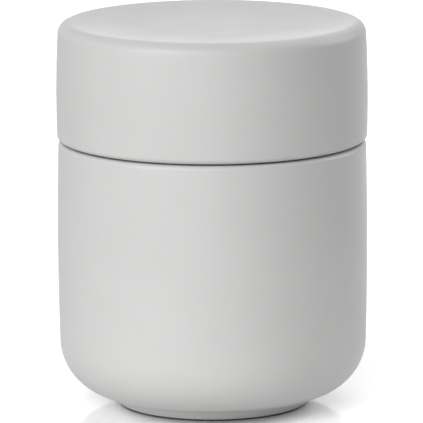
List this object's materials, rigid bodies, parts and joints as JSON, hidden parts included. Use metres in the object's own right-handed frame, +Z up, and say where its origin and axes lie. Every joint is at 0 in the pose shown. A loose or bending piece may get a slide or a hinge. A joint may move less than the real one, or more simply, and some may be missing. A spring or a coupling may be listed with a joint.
{
  "type": "lidded cotton pad jar",
  "caption": "Round matte stoneware jar for cotton pads, with a gently bulged wall, a rounded bottom on a flared foot and a hollow lift-off lid seated on a silicone seal.",
  "frame": {"origin": "centre of the pad's lower face, on the surface that the jar stands on", "axes": "+Z up along the axis of the jar and lid; the form is round, so X and Y are free, with -Y towards the picture's camera"},
  "size_m": [0.083, 0.083, 0.1033],
  "materials": {
    "jar_stoneware": "matte soft-touch coat, pale warm grey",
    "pad_foam": "closed-cell foam, charcoal, glued",
    "seal_silicone": "satin moulded silicone, charcoal",
    "lid_stoneware": "matte soft-touch coat, pale warm grey"
  },
  "bodies": {
    "jar": {"jar_body": "jar_stoneware", "base_pad": "pad_foam"},
    "seal": {"lid_seal": "seal_silicone"},
    "lid": {"lid": "lid_stoneware"}
  },
  "joints": [
    {"name": "lid_lift", "type": "slide", "parent": "jar", "child": "seal", "axis": [0, 0, 1], "range_m": [0, 0.06]},
    {"name": "lid_turn", "type": "hinge", "parent": "seal", "child": "lid", "pos_m": [0, 0, 0.0717], "axis": [0, 0, 1], "continuous": true}
  ]
}
